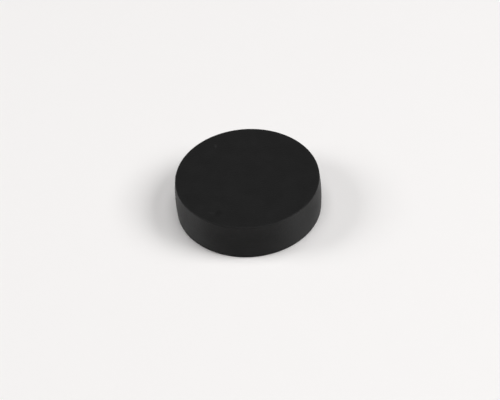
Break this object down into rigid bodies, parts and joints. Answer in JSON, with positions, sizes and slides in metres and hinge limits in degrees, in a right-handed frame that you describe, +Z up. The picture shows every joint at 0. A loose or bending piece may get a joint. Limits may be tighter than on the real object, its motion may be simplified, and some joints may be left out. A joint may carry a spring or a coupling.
{
  "type": "disc magnet",
  "caption": "Flat round disc magnet sealed in a black rubber coat, with a slightly crowned wall and rounded edges, to hold papers or parts against steel.",
  "frame": {"origin": "centre of the bottom face, which is the face that it rests on", "axes": "+Z up the axis of the disc, through the centres of both faces; X and Y lie in the bottom face, and the disc is the same all round"},
  "size_m": [0.017, 0.017, 0.0047],
  "materials": {
    "rubber_coat": "matte"
  },
  "bodies": {
    "root": {"magnet_disc": "rubber_coat"}
  },
  "joints": []
}
